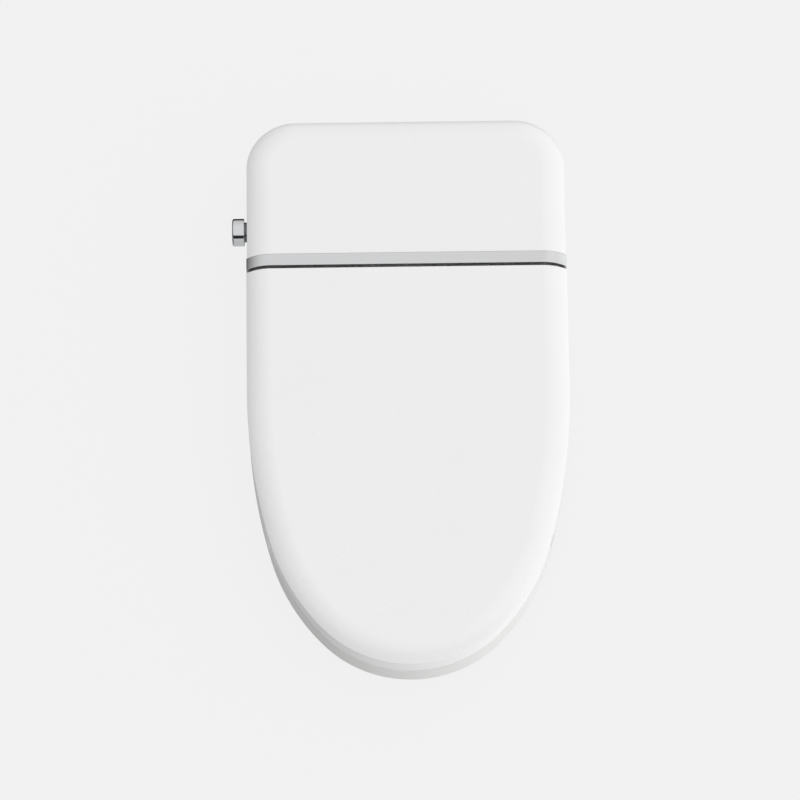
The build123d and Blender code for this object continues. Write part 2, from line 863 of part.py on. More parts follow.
for side, name in ((-1, "rear"), (1, "front")):
    with BuildPart(nozzle_plane) as tube:
        with Locations((side * nozzle_x, (nozzle_cap_length + nozzle_length) / 2, 0)):
            Cylinder(nozzle_r, nozzle_length - nozzle_cap_length, rotation=(90, 0, 0))
            Cylinder(
                nozzle_bore_r, nozzle_length, rotation=(90, 0, 0), mode=Mode.SUBTRACT
            )
    save(tube, f"{name}_nozzle")

    with BuildPart(nozzle_plane) as cap:
        with Locations((side * nozzle_x, nozzle_cap_length / 2, 0)):
            Cylinder(nozzle_r, nozzle_cap_length, rotation=(90, 0, 0))
        tip = cap.faces().sort_by(Axis.Y)[0]
        fillet(tip.edges(), radius=nozzle_r / 2)
        with Locations((side * nozzle_x, nozzle_cap_length / 2, nozzle_r / 2)):
            Cylinder(spray_r, nozzle_r, mode=Mode.SUBTRACT)
        with Locations((side * nozzle_x, nozzle_cap_length - tip_bore_back, 0)):
            Cylinder(tip_bore_r, tip_bore_length, rotation=(90, 0, 0), mode=Mode.SUBTRACT)
    save(cap, f"{name}_nozzle_tip")

    with BuildPart(nozzle_plane) as rack:
        rack_middle = (rack_start + nozzle_length) / 2
        with Locations((side * (rack_face - rack_web), rack_middle, 0)):
            Box(2 * rack_web, nozzle_length - rack_start, rack_height)
        for tooth in range(rack_teeth):
            with Locations(
                (
                    side * (rack_face + tooth_depth / 2),
                    pinion_along + (tooth + 0.5) * tooth_pitch,
                    0,
                )
            ):
                Box(tooth_depth, tooth_width, rack_height)
        with Locations((side * nozzle_x, rack_middle, 0)):
            Cylinder(nozzle_r, nozzle_length, rotation=(90, 0, 0), mode=Mode.SUBTRACT)
    save(rack, f"{name}_nozzle_rack")

    with BuildPart(nozzle_plane) as pinion:
        with Locations((side * pinion_x, pinion_along, 0)):
            Cylinder(pinion_root_r, pinion_thickness)
            with PolarLocations(pinion_tip_r / 2, pinion_teeth):
                Box(pinion_tip_r, tooth_width, pinion_thickness)
            Cylinder(motor_shaft_r + running_gap, pinion_thickness, mode=Mode.SUBTRACT)
    save(pinion, f"{name}_pinion")

    with BuildPart(nozzle_plane) as motor:
        with Locations((side * pinion_x, pinion_along, motor_top - motor_height / 2)):
            Cylinder(motor_r, motor_height)
        with Locations((side * pinion_x, pinion_along, motor_top + pinion_thickness / 2)):
            Cylinder(motor_shaft_r, pinion_thickness + motor_gap)
    save(motor, f"{name}_nozzle_motor")

with BuildPart(nozzle_plane) as nozzle_holder:
    holder_middle = holder_start + holder_length / 2
    holder_top = nozzle_r + holder_top_wall
    block_half = nozzle_x + nozzle_r + holder_side_wall
    plate_half = pinion_x + motor_r + holder_margin
    with Locations((0, holder_middle, (plate_top + holder_top) / 2)):
        Box(2 * block_half, holder_length, holder_top - plate_top)
    with Locations(
        (0, (holder_start + pinion_along + motor_r) / 2, plate_top - holder_plate / 2)
    ):
        Box(2 * plate_half, pinion_along + motor_r - holder_start, holder_plate)
    for side in (-1, 1):
        with Locations((side * nozzle_x, holder_middle, 0)):
            Cylinder(
                nozzle_r + running_gap,
                holder_length + 2 * past,
                rotation=(90, 0, 0),
                mode=Mode.SUBTRACT,
            )
        slot_x = nozzle_x + nozzle_r + (holder_slot - 2 * past) / 2
        with Locations((side * slot_x, holder_middle, 0)):
            Box(
                holder_slot,
                holder_length + 2 * past,
                rack_height + 2 * slot_gap,
                mode=Mode.SUBTRACT,
            )
save(nozzle_holder, "nozzle_holder")

with BuildPart() as nozzle_shroud:
    add(
        block(
            -shroud_half,
            shroud_half,
            shroud_front_y,
            cheek_front_y + casing_wall,
            shroud_z,
            shroud_top_z,
        )
    )
    add(
        block(
            -shroud_half + shroud_wall,
            shroud_half - shroud_wall,
            shroud_front_y - past,
            cheek_front_y + casing_wall + past,
            shroud_z + shroud_wall,
            shroud_top_z - shroud_wall,
        ),
        mode=Mode.SUBTRACT,
    )
    with BuildSketch(Plane.YZ.offset(-shroud_half - past)):
        with BuildLine():
            Polyline(
                (shroud_front_y - past, shroud_z - past),
                (shroud_front_y + shroud_nose, shroud_z - past),
                (shroud_front_y - past, shroud_top_z - shroud_nose),
                close=True,
            )
        make_face()
    extrude(amount=2 * (shroud_half + past), mode=Mode.SUBTRACT)
save(nozzle_shroud, "nozzle_shroud")

# ---- Water: inlet, filter, valves, pump, instant heater and the selector for the nozzles ----
with BuildPart() as water_inlet:
    with BuildSketch(Plane.XZ.offset(-notch_wall_y)):
        with Locations((notch_x, inlet_z)):
            Circle(inlet_r)
    extrude(amount=-inlet_length)
    with BuildSketch(Plane.XZ.offset(-notch_wall_y)):
        with Locations((notch_x, inlet_z)):
            Circle(inlet_shank_r)
    extrude(amount=inlet_shank)
    with BuildSketch(Plane.XZ.offset(-notch_wall_y - inlet_length)):
        with Locations((notch_x, inlet_z)):
            Circle(inlet_bore_r)
    extrude(amount=inlet_length + inlet_shank, mode=Mode.SUBTRACT)
save(water_inlet, "water_inlet")

shank_end_y = notch_wall_y - inlet_shank
with BuildPart() as inlet_filter:
    with BuildSketch(Plane.XZ.offset(-shank_end_y)):
        with Locations((notch_x, inlet_z)):
            Circle(inlet_shank_r)
    extrude(amount=filter_length)
save(inlet_filter, "inlet_filter")

valve_rear_y = shank_end_y - filter_length
with BuildPart() as valve_block:
    add(
        block(
            notch_x - valve_half,
            notch_x + valve_half,
            valve_rear_y - valve_length,
            valve_rear_y,
            casing_floor_z,
            casing_floor_z + valve_height,
        )
    )
    with BuildSketch(Plane.XY.offset(casing_floor_z + valve_height)):
        with GridLocations(0, valve_length / 2, 1, 2):
            with Locations((notch_x, valve_rear_y - valve_length / 2)):
                Circle(coil_r)
    extrude(amount=valve_coil_height)
save(valve_block, "valve_block")

with BuildPart() as water_pump:
    with BuildSketch(Plane.XZ.offset(-pump_rear_y)):
        with Locations((pump_x, casing_floor_z + pump_r)):
            Circle(pump_r)
    extrude(amount=pump_length)
    chamfer(water_pump.edges(), length=1.5)
save(water_pump, "water_pump")

with BuildPart() as water_heater:
    add(
        block(
            heater_x,
            heater_x + heater_width,
            heater_y,
            heater_y + heater_length,
            casing_floor_z,
            casing_floor_z + heater_height,
        )
    )
    fillet(water_heater.edges().filter_by(Axis.Z), radius=heater_corner_r)
save(water_heater, "water_heater")

with BuildPart() as flow_selector:
    add(
        block(
            -selector_half,
            selector_half,
            selector_y,
            selector_y + selector_half,
            casing_floor_z,
            selector_top_z,
        )
    )
save(flow_selector, "flow_selector")

with BuildPart() as water_tube:
    tube_y = heater_y + heater_length - tube_from_end
    tube_z = selector_top_z - tube_below_top
    with BuildLine():
        route = FilletPolyline(
            (heater_x, tube_y, tube_z),
            (heater_x - tube_lead, tube_y, tube_z),
            (selector_half + tube_run_in, selector_y + selector_half / 2, tube_z),
            (selector_half, selector_y + selector_half / 2, tube_z),
            radius=tube_bend_r,
        )
    with BuildSketch(Plane(origin=route @ 0, z_dir=route % 0)):
        Circle(tube_r)
        Circle(tube_r - tube_wall, mode=Mode.SUBTRACT)
    sweep()
save(water_tube, "water_tube")

# ---- Dryer: fan, duct under the deck and a flap in the front wall ----
with BuildPart() as fan_housing:
    with BuildSketch(Plane.XY.offset(duct_z)):
        with Locations((duct_x, fan_y)):
            Circle(fan_r)
    extrude(amount=fan_height)
    with BuildSketch(Plane.XY.offset(duct_z + fan_wall)):
        with Locations((duct_x, fan_y)):
            Circle(fan_r - fan_wall)
    extrude(amount=fan_height - 2 * fan_wall, mode=Mode.SUBTRACT)
    with BuildSketch(Plane.XY.offset(duct_z + fan_wall)):
        with Locations((duct_x, fan_y)):
            Circle(fan_inlet_r)
    extrude(amount=fan_height, mode=Mode.SUBTRACT)
    with BuildSketch(Plane.XY.offset(duct_z)):
        with Locations((duct_x, fan_y)):
            Circle(fan_shaft_r + shaft_clearance)
    extrude(amount=fan_wall, mode=Mode.SUBTRACT)
    add(
        block(
            duct_x - duct_half + duct_wall,
            duct_x + duct_half - duct_wall,
            fan_y - fan_r - past,
            fan_y - rotor_r,
            duct_z + duct_wall,
            duct_z + duct_height - duct_wall,
        ),
        mode=Mode.SUBTRACT,
    )
save(fan_housing, "fan_housing")

with BuildPart() as fan_rotor:
    rotor_z = duct_z + fan_wall + rotor_lift
    with BuildSketch(Plane.XY.offset(rotor_z)):
        with Locations((duct_x, fan_y)):
            Circle(rotor_r)
    extrude(amount=fan_wall)
    with BuildSketch(Plane.XY.offset(rotor_z)):
        with Locations((duct_x, fan_y)):
            Circle(fan_shaft_r + hub_wall)
            with PolarLocations(rotor_r - blade_inset, rotor_blades):
                Rectangle(blade_length, blade_thickness, rotation=blade_turn)
    extrude(amount=rotor_height)
    with BuildSketch(Plane.XY.offset(rotor_z)):
        with Locations((duct_x, fan_y)):
            Circle(fan_shaft_r + running_gap)
    extrude(amount=rotor_height, mode=Mode.SUBTRACT)
save(fan_rotor, "fan_rotor")

with BuildPart() as fan_motor:
    with BuildSketch(Plane.XY.offset(casing_floor_z)):
        with Locations((duct_x, fan_y)):
            Circle(fan_motor_r)
    extrude(amount=duct_z - casing_floor_z)
    with BuildSketch(Plane.XY.offset(duct_z)):
        with Locations((duct_x, fan_y)):
            Circle(fan_shaft_r)
    extrude(amount=rotor_height + 2 * fan_wall)
save(fan_motor, "fan_motor")

with BuildPart() as dryer_duct:
    add(
        block(
            duct_x - duct_half,
            duct_x + duct_half,
            cheek_front_y,
            fan_y,
            duct_z,
            duct_z + duct_height,
        )
    )
    add(
        block(
            duct_x - duct_half + duct_wall,
            duct_x + duct_half - duct_wall,
            cheek_front_y - past,
            fan_y + past,
            duct_z + duct_wall,
            duct_z + duct_height - duct_wall,
        ),
        mode=Mode.SUBTRACT,
    )
    with BuildSketch():
        with Locations((duct_x, fan_y)):
            Circle(fan_r)
    extrude(amount=tall, mode=Mode.SUBTRACT)
save(dryer_duct, "dryer_duct")

flap_y = cheek_front_y - flap_barrel_r
with BuildPart() as dryer_flap:
    add(
        block(
            duct_x - flap_half,
            duct_x + flap_half,
            flap_y - flap_thickness / 2,
            flap_y + flap_thickness / 2,
            duct_z - flap_overhang,
            flap_pin_z,
        )
    )
    add(
        cross_cylinder(
            flap_barrel_r - slide_gap, duct_x - flap_half, duct_x + flap_half, flap_y, flap_pin_z
        )
    )
    add(flap_pin_bar(flap_pin_r + running_gap), mode=Mode.SUBTRACT)
save(dryer_flap, "dryer_flap")

with BuildPart() as flap_pin:
    add(flap_pin_bar(flap_pin_r))
save(flap_pin, "flap_pin")

# ---- Electrics: two boards on standoffs, the air filter and the cable gland ----
# Each board: centre, width, length, the floor that it stands on and its height above that floor
boards = {
    "power_board": (-(half_width - 90.0), rear_y - 67.0, 80.0, 64.0, casing_floor_z, 7.0),
    "control_board": (-62.0, 37.0, 60.0, 58.0, pocket_z + casing_wall, 7.0),
}

with BuildPart() as board_standoffs:
    for x, y, width, length, floor_z, height in boards.values():
        with BuildSketch(Plane.XY.offset(floor_z)):
            with Locations((x, y)):
                with GridLocations(width - 2 * standoff_inset, length - 2 * standoff_inset, 2, 2):
                    Circle(standoff_r)
        extrude(amount=height)
save(board_standoffs, "board_standoffs")

for name, (x, y, width, length, floor_z, height) in boards.items():
    with BuildPart() as board:
        with BuildSketch(Plane.XY.offset(floor_z + height)):
            with Locations((x, y)):
                Rectangle(width, length)
        extrude(amount=board_thickness)
    save(board, name)

x, y, width, length, floor_z, height = boards["power_board"]
with BuildPart() as power_components:
    with BuildSketch(Plane.XY.offset(floor_z + height + board_thickness)):
        with Locations((x - transformer_size[0] * 0.6, y + capacitor_r * 2)):
            Rectangle(*transformer_size)
        with Locations((x + width / 2 - 3 * capacitor_r, y)):
            with GridLocations(0, capacitor_spacing, 1, 3):
                Circle(capacitor_r)
    extrude(amount=power_part_height)
save(power_components, "power_components")

x, y, width, length, floor_z, height = boards["control_board"]
with BuildPart() as control_chips:
    with BuildSketch(Plane.XY.offset(floor_z + height + board_thickness)):
        with Locations((x, y)):
            with GridLocations(*chip_spacing, 2, 2):
                Rectangle(chip_size, chip_size)
    extrude(amount=chip_height)
save(control_chips, "control_chips")

with BuildPart() as deodoriser_filter:
    add(
        block(
            filter_inboard - half_width,
            filter_inboard + filter_width - half_width,
            cheek_front_y + filter_front_gap,
            front_wall_y - filter_rear_gap,
            casing_floor_z,
            deck_z - filter_top_gap,
        )
    )
    fillet(deodoriser_filter.edges().filter_by(Axis.Z), radius=filter_corner_r)
save(deodoriser_filter, "deodoriser_filter")

with BuildPart() as cable_gland:
    with BuildSketch(Plane.XZ.offset(-notch_wall_y + casing_wall + gland_inside)):
        with Locations((-notch_x, inlet_z)):
            Circle(gland_r)
    extrude(amount=-(casing_wall + gland_inside + gland_length))
    with BuildSketch(Plane.XZ.offset(-notch_wall_y)):
        with Locations((-notch_x, inlet_z)):
            RegularPolygon(gland_nut_r, 6)
    extrude(amount=-gland_nut)
    with BuildSketch(Plane.XZ.offset(-notch_wall_y - gland_length - past)):
        with Locations((-notch_x, inlet_z)):
            Circle(gland_bore_r)
    extrude(amount=gland_length + casing_wall + gland_inside + 2 * past, mode=Mode.SUBTRACT)
save(cable_gland, "cable_gland")

# ---- Fixing: the slotted plate that bolts to the rim, and its release button ----
with BuildPart() as mounting_plate:
    with BuildSketch():
        RectangleRounded(2 * plate_half_width, 2 * plate_half_length, 8)
        with GridLocations(fixing_spacing, 0, 2, 1):
            SlotOverall(fixing_slot_length, 2 * fixing_slot_r, mode=Mode.SUBTRACT)
    extrude(amount=plate_thickness)
save(mounting_plate, "mounting_plate")

with BuildPart() as release_button:
    add(
        block(
            side_x - button_depth,
            side_x - slide_gap,
            button_y - button_length / 2,
            button_y + button_length / 2,
            button_z - button_height / 2,
            button_z + button_height / 2,
        )
    )
    fillet(release_button.edges().filter_by(Axis.X), radius=2)
save(release_button, "release_button")
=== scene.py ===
import math

import bmesh
import bpy
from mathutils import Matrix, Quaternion, Vector


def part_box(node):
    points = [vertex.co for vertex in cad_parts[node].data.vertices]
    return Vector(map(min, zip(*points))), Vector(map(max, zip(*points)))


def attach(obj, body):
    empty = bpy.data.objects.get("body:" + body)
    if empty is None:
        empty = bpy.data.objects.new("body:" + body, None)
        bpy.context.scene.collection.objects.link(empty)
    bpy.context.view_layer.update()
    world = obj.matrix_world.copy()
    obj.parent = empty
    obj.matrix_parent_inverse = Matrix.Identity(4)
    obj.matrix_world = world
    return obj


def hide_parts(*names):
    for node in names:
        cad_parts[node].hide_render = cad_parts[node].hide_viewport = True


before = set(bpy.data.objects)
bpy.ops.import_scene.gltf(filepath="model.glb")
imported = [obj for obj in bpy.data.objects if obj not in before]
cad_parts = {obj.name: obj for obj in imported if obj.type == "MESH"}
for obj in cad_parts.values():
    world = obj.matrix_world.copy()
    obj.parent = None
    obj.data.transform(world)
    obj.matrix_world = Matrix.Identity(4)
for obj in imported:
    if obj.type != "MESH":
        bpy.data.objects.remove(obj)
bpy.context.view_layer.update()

# ---- Base casing ----
# The tray that carries every inner part. Injection moulded in ABS with a fine spark-eroded grain,
# because nothing but its cheeks and its back is seen. Moulded corners have a small radius.
MM = 0.001
casing_edge = 0.6 * MM
casing_grain = 0.9 * MM


def colour(hex_code):
    """An sRGB hex value as the linear colour that a shader takes."""
    linear = []
    for start in (1, 3, 5):
        value = int(hex_code[start : start + 2], 16) / 255
        linear.append(value / 12.92 if value <= 0.04045 else ((value + 0.055) / 1.055) ** 2.4)
    return (*linear, 1.0)


def add_node(tree, kind, links=None, **settings):
    """One node with its settings; links holds a value or an output for each named input."""
    node = tree.nodes.new(kind)
    for name, value in settings.items():
        setattr(node, name, value)
    for name, value in (links or {}).items():
        if isinstance(value, bpy.types.NodeSocket):
            tree.links.new(value, node.inputs[name])
        else:
            node.inputs[name].default_value = value
    return node


def start_material(name, shader_values):
    """A material with one Principled shader: its tree, the shader and the piece's coordinates."""
    material = bpy.data.materials.new(name)
    material.use_nodes = True
    tree = material.node_tree
    tree.nodes.clear()
    shader = add_node(tree, "ShaderNodeBsdfPrincipled", shader_values)
    add_node(tree, "ShaderNodeOutputMaterial", {"Surface": shader.outputs["BSDF"]})
    coords = add_node(tree, "ShaderNodeTexCoord").outputs["Object"]
    return material, tree, shader, coords


def moulded(name, light, dark, roughness, grain, depth, gloss_drift=0.05):
    """A moulded skin: a grain in relief, with a slow drift in its tone and its gloss."""
    flow_length = 90 * MM
    bump_strength = 0.5
    material, tree, shader, coords = start_material(name, {"Roughness": roughness})
    flow = add_node(
        tree, "ShaderNodeTexNoise", {"Vector": coords, "Scale": 1 / flow_length, "Detail": 2.0}
    )
    tone = add_node(
        tree,
        "ShaderNodeMix",
        {0: flow.outputs[0], 6: colour(light), 7: colour(dark)},
        data_type="RGBA",
    )
    tree.links.new(tone.outputs[2], shader.inputs["Base Color"])
    gloss = add_node(
        tree,
        "ShaderNodeMapRange",
        {
            "Value": flow.outputs[0],
            "To Min": roughness - gloss_drift,
            "To Max": roughness + gloss_drift,
        },
    )
    tree.links.new(gloss.outputs[0], shader.inputs["Roughness"])
    relief = add_node(
        tree, "ShaderNodeTexNoise", {"Vector": coords, "Scale": 1 / grain, "Detail": 4.0}
    )
    bump = add_node(
        tree,
        "ShaderNodeBump",
        {"Height": relief.outputs[0], "Strength": bump_strength, "Distance": depth},
    )
    tree.links.new(bump.outputs[0], shader.inputs["Normal"])
    return material


def dress(material, *names):
    """Gives one finish to CAD pieces whose shape stays as it is."""
    for name in names:
        for material_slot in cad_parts[name].material_slots:
            material_slot.material = material


def new_piece(name, mesh, body, slot_name, *stands_for):
    """Puts a finished mesh on its body and hides the CAD pieces it stands for; slot_name is not
    used.
    """
    piece = bpy.data.objects.new(name, mesh)
    bpy.context.collection.objects.link(piece)
    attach(piece, body)
    if stands_for:
        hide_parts(*stands_for)
    return piece


def baked_mesh(name, source, modifier_list):
    """The plain mesh that a source mesh becomes under its modifiers."""
    worker = bpy.data.objects.new(name, source)
    bpy.context.collection.objects.link(worker)
    for kind, settings in modifier_list:
        modifier = worker.modifiers.new(kind.title(), kind)
        for key, value in settings.items():
            setattr(modifier, key, value)
    depsgraph = bpy.context.evaluated_depsgraph_get()
    mesh = bpy.data.meshes.new_from_object(worker.evaluated_get(depsgraph))
    worker.modifiers.clear()
    bpy.data.objects.remove(worker)
    mesh.name = name
    return mesh


def softened(node_name, edge, material, body, slot_name):
    """A piece with its CAD shape and its sharp edges rounded as a mould or a polish leaves them."""
    weld_distance = 0.002 * MM
    flat_angle = math.radians(0.2)
    sharp_angle = math.radians(40)
    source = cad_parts[node_name].data.copy()
    shape = bmesh.new()
    shape.from_mesh(source)
    bmesh.ops.remove_doubles(shape, verts=shape.verts, dist=weld_distance)
    bmesh.ops.dissolve_limit(
        shape, angle_limit=flat_angle, verts=shape.verts, edges=shape.edges, delimit={"NORMAL"}
    )
    shape.to_mesh(source)
    shape.free()
    for polygon in source.polygons:
        polygon.use_smooth = True
    source.materials.clear()
    source.materials.append(material)
    rounding = {
        "width": edge,
        "segments": 2,
        "limit_method": "ANGLE",
        "angle_limit": sharp_angle,
        "use_clamp_overlap": True,
        "harden_normals": False,
    }
    weights = {"keep_sharp": True, "weight": 90}
    steps = [("BEVEL", rounding), ("WEIGHTED_NORMAL", weights)]
    mesh = baked_mesh(f"{node_name}_finished", source, steps)
    return new_piece(f"{node_name}_finished", mesh, body, slot_name, node_name)


# Grained ABS: white with a little grey in it, and scatters light softly
casing_abs = moulded("grained_abs", "#F1F1F0", "#ECECEB", 0.45, casing_grain, 0.03 * MM)
softened("base_casing", casing_edge, casing_abs, "housing", "casing_abs")

# ---- Base pads ----
# Four round feet that the unit rests on, moulded in black rubber and pushed into the casing's
# underside. Each has raised rings that grip the rim.
pad_low, pad_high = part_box("base_pads")
pad_r = 10 * MM
pad_rings = 3
ring_r = 0.5 * MM
pad_steps = 48
ring_steps = 40
ring_section_steps = 8


def start_group(name, inputs):
    """An empty node group with named inputs: the group, the inputs' sockets and its result's."""
    group = bpy.data.node_groups.new(name, "GeometryNodeTree")
    interface = group.interface
    interface.new_socket("Geometry", in_out="INPUT", socket_type="NodeSocketGeometry")
    for label, kind in inputs.items():
        interface.new_socket(label, in_out="INPUT", socket_type=kind)
    interface.new_socket("Geometry", in_out="OUTPUT", socket_type="NodeSocketGeometry")
    group_in = group.nodes.new("NodeGroupInput")
    group_out = group.nodes.new("NodeGroupOutput")
    return group, group_in.outputs, group_out.inputs


def grown_mesh(name, group, points, values):
    """The plain mesh that a node group grows from a few points."""
    source = bpy.data.meshes.new(name)
    source.from_pydata([tuple(point) for point in points], [], [])
    worker = bpy.data.objects.new(name, source)
    bpy.context.collection.objects.link(worker)
    modifier = worker.modifiers.new("grow", "NODES")
    modifier.node_group = group
    for item in group.interface.items_tree:
        if item.in_out == "INPUT" and item.name in values:
            modifier[item.identifier] = values[item.name]
    worker.update_tag()
    depsgraph = bpy.context.evaluated_depsgraph_get()
    mesh = bpy.data.meshes.new_from_object(worker.evaluated_get(depsgraph))
    worker.modifiers.clear()
    bpy.data.objects.remove(worker)
    mesh.name = name
    return mesh


def close_group(group, output, geometry, material):
    """Ends a group: real geometry in place of instances, with its material set."""
    real = add_node(group, "GeometryNodeRealizeInstances", {"Geometry": geometry})
    finish = add_node(group, "GeometryNodeSetMaterial", {"Geometry": real.outputs[0]})
    finish.inputs["Material"].default_value = material
    group.links.new(finish.outputs[0], output["Geometry"])


# Black rubber: dark grey in fact, matt, with a dry bloom that evens out any gloss
pad_rubber = moulded("black_rubber", "#1D1D1E", "#262627", 0.75, 0.6 * MM, 0.02 * MM)

group, given, result = start_group(
    "ringed_pad",
    {
        "Radius": "NodeSocketFloat",
        "Height": "NodeSocketFloat",
        "Rings": "NodeSocketInt",
        "Ring Radius": "NodeSocketFloat",
    },
)
disc_height = add_node(
    group, "ShaderNodeMath", {0: given["Height"], 1: given["Ring Radius"]}, operation="SUBTRACT"
)
disc = add_node(
    group,
    "GeometryNodeMeshCylinder",
    {"Radius": given["Radius"], "Depth": disc_height.outputs[0], "Vertices": pad_steps},
)
disc_lift = add_node(
    group, "ShaderNodeMath", {0: disc_height.outputs[0], 1: 2.0}, operation="DIVIDE"
)
disc_rise = add_node(
    group,
    "ShaderNodeMath",
    {0: disc_lift.outputs[0], 1: given["Ring Radius"]},
    operation="ADD",
)
disc_place = add_node(group, "ShaderNodeCombineXYZ", {"Z": disc_rise.outputs[0]})
disc_raised = add_node(
    group,
    "GeometryNodeTransform",
    {"Geometry": disc.outputs["Mesh"], "Translation": disc_place.outputs[0]},
)
ring_line = add_node(group, "GeometryNodeMeshLine", {"Count": given["Rings"], "Offset": (0, 0, 0)})
ring_index = add_node(group, "GeometryNodeInputIndex")
ring_number = add_node(
    group, "ShaderNodeMath", {0: ring_index.outputs[0], 1: 1.0}, operation="ADD"
)
ring_parts = add_node(group, "ShaderNodeMath", {0: given["Rings"], 1: 1.0}, operation="ADD")
ring_share = add_node(
    group,
    "ShaderNodeMath",
    {0: ring_number.outputs[0], 1: ring_parts.outputs[0]},
    operation="DIVIDE",
)
ring_size = add_node(
    group,
    "ShaderNodeMath",
    {0: ring_share.outputs[0], 1: given["Radius"]},
    operation="MULTIPLY",
)
unit_ring = add_node(
    group, "GeometryNodeCurvePrimitiveCircle", {"Resolution": ring_steps, "Radius": 1.0}
)
ring_set = add_node(
    group,
    "GeometryNodeInstanceOnPoints",
    {
        "Points": ring_line.outputs["Mesh"],
        "Instance": unit_ring.outputs["Curve"],
        "Scale": ring_size.outputs[0],
    },
)
ring_curves = add_node(
    group, "GeometryNodeRealizeInstances", {"Geometry": ring_set.outputs["Instances"]}
)
ring_profile = add_node(
    group,
    "GeometryNodeCurvePrimitiveCircle",
    {"Resolution": ring_section_steps, "Radius": given["Ring Radius"]},
)
rings = add_node(
    group,
    "GeometryNodeCurveToMesh",
    {"Curve": ring_curves.outputs[0], "Profile Curve": ring_profile.outputs["Curve"]},
)
ring_place = add_node(group, "ShaderNodeCombineXYZ", {"Z": given["Ring Radius"]})
rings_raised = add_node(
    group,
    "GeometryNodeTransform",
    {"Geometry": rings.outputs["Mesh"], "Translation": ring_place.outputs[0]},
)
pad_shape = add_node(group, "GeometryNodeJoinGeometry")
for part in (disc_raised, rings_raised):
    group.links.new(part.outputs[0], pad_shape.inputs[0])
pad_set = add_node(
    group,
    "GeometryNodeInstanceOnPoints",
    {"Points": given["Geometry"], "Instance": pad_shape.outputs[0]},
)
close_group(group, result, pad_set.outputs["Instances"], pad_rubber)

pad_points = []
for x in (pad_low[0] + pad_r, pad_high[0] - pad_r):
    for y in (pad_low[1] + pad_r, pad_high[1] - pad_r):
        pad_points.append((x, y, pad_low[2]))
pad_values = {
    "Radius": pad_r,
    "Height": pad_high[2] - pad_low[2],
    "Rings": pad_rings,
    "Ring Radius": ring_r,
}
pad_mesh = grown_mesh("ringed_pads", group, pad_points, pad_values)
new_piece("ringed_pads", pad_mesh, "housing", "pad_rubber", "base_pads")

# ---- Fixing plate and its release button ----
# The plate is pressed from stainless sheet and bolts to the rim, and the casing slides onto it.
# The button that frees it is moulded in the casing's own ABS.
sheet_grain = 0.4 * MM
button_edge = 0.8 * MM


def brushed(name, light, dark, roughness, line, direction, depth, anisotropy):
    """Metal with fine scratches that all run one way; direction is 0, 1 or 2 for X, Y or Z."""
    scratch_length = 60 * MM
    bump_strength = 0.4
    gloss_spread = 0.2
    fixed = {"Metallic": 1.0, "Roughness": roughness, "Anisotropic": anisotropy}
    material, tree, shader, coords = start_material(name, fixed)
    scales = [1 / line] * 3
    scales[direction] = 1 / scratch_length
    stretched = add_node(tree, "ShaderNodeMapping", {"Vector": coords, "Scale": scales})
    scratch = add_node(
        tree, "ShaderNodeTexNoise", {"Vector": stretched.outputs[0], "Scale": 1.0, "Detail": 5.0}
    )
    tone = add_node(
        tree,
        "ShaderNodeMix",
        {0: scratch.outputs[0], 6: colour(light), 7: colour(dark)},
        data_type="RGBA",
    )
    tree.links.new(tone.outputs[2], shader.inputs["Base Color"])
    gloss = add_node(
        tree,
        "ShaderNodeMapRange",
        {
            "Value": scratch.outputs[0],
            "To Min": roughness * (1 - gloss_spread),
            "To Max": roughness * (1 + gloss_spread),
        },
    )
    tree.links.new(gloss.outputs[0], shader.inputs["Roughness"])
    bump = add_node(
        tree,
        "ShaderNodeBump",
        {"Height": scratch.outputs[0], "Strength": bump_strength, "Distance": depth},
    )
    tree.links.new(bump.outputs[0], shader.inputs["Normal"])
    return material


# Cold-rolled stainless sheet: a grey metal with fine rolling lines along it
rolled_steel = brushed(
    "rolled_stainless", "#C9C9CA", "#B4B5B7", 0.32, sheet_grain, 0, 0.01 * MM, 0.4
)
dress(rolled_steel, "mounting_plate")
softened("release_button", button_edge, casing_abs, "button", "casing_abs")

# ---- Water inlet ----
# A brass nipple, nickel plated, that the supply hose screws onto. Its thread is rolled; the tube
# behind it passes through the casing's wall.
inlet_low, inlet_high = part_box("water_inlet")
thread_pitch = 1.81 * MM
thread_depth = 1.1 * MM
inlet_bore_r = 5 * MM
inlet_shank = 8 * MM
shank_r = 8 * MM
flange = 2.5 * MM
turn_steps = 40
ridge_steps = 6
nipple_steps = 64

# Nickel on brass: a warm bright metal
nickel_brass = brushed(
    "nickel_plated_brass", "#D8CFBB", "#C6BBA3", 0.24, 0.5 * MM, 0, 0.01 * MM, 0.0
)

group, given, result = start_group(
    "threaded_nipple",
    {
        "Root Radius": "NodeSocketFloat",
        "Length": "NodeSocketFloat",
        "Pitch": "NodeSocketFloat",
        "Crest": "NodeSocketFloat",
    },
)
turns = add_node(
    group, "ShaderNodeMath", {0: given["Length"], 1: given["Pitch"]}, operation="DIVIDE"
)
helix = add_node(
    group,
    "GeometryNodeCurveSpiral",
    {
        "Resolution": turn_steps,
        "Rotations": turns.outputs[0],
        "Start Radius": given["Root Radius"],
        "End Radius": given["Root Radius"],
        "Height": given["Length"],
    },
)
ridge_profile = add_node(
    group,
    "GeometryNodeCurvePrimitiveCircle",
    {"Resolution": ridge_steps, "Radius": given["Crest"]},
)
ridge = add_node(
    group,
    "GeometryNodeCurveToMesh",
    {
        "Curve": helix.outputs[0],
        "Profile Curve": ridge_profile.outputs["Curve"],
        "Fill Caps": True,
    },
)
nipple_set = add_node(
    group,
    "GeometryNodeInstanceOnPoints",
    {
        "Points": given["Geometry"],
        "Instance": ridge.outputs["Mesh"],
        "Rotation": (math.radians(-90), 0, 0),
    },
)
close_group(group, result, nipple_set.outputs["Instances"], nickel_brass)

